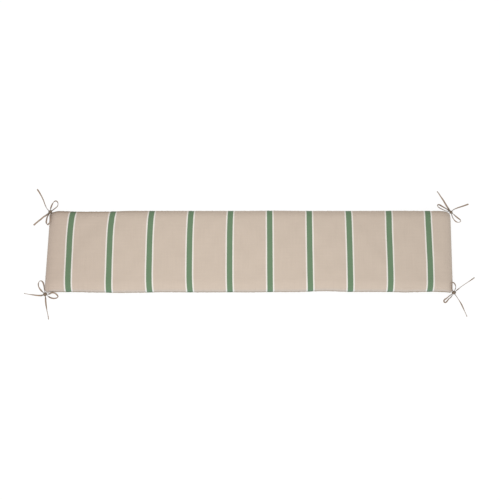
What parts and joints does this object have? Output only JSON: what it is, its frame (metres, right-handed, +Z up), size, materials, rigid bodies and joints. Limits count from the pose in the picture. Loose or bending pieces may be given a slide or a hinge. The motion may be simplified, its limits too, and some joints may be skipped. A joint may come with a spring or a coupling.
{
  "type": "bench cushion",
  "caption": "Long thin filled seat cushion with a crowned striped top, rolled edges sewn in one seam, and a bow of narrow cloth ties at each corner.",
  "frame": {"origin": "on the ground under the middle of the cushion, measured without its ties", "axes": "+X along the cushion's length, to the right as seen from its front edge; -Y towards its front edge; +Z up, out of its crowned top"},
  "size_m": [1.6935, 0.5209, 0.058],
  "materials": {
    "striped_cloth": "matt woven cloth, taupe with narrow green stripes edged in off-white",
    "tie_cloth": "matt woven cloth, darker taupe, folded and stitched flat"
  },
  "bodies": {
    "root": {"cushion": "striped_cloth", "knot_back_left": "tie_cloth", "knot_back_right": "tie_cloth", "knot_front_left": "tie_cloth", "knot_front_right": "tie_cloth", "tie_back_left_tail_1": "tie_cloth", "tie_back_left_tail_2": "tie_cloth", "tie_back_left_loop_1": "tie_cloth", "tie_back_left_loop_2": "tie_cloth", "tie_back_right_tail_1": "tie_cloth", "tie_back_right_tail_2": "tie_cloth", "tie_back_right_loop_1": "tie_cloth", "tie_back_right_loop_2": "tie_cloth", "tie_front_left_tail_1": "tie_cloth", "tie_front_left_tail_2": "tie_cloth", "tie_front_left_loop_1": "tie_cloth", "tie_front_left_loop_2": "tie_cloth", "tie_front_right_tail_1": "tie_cloth", "tie_front_right_tail_2": "tie_cloth", "tie_front_right_loop_1": "tie_cloth", "tie_front_right_loop_2": "tie_cloth"}
  },
  "joints": []
}
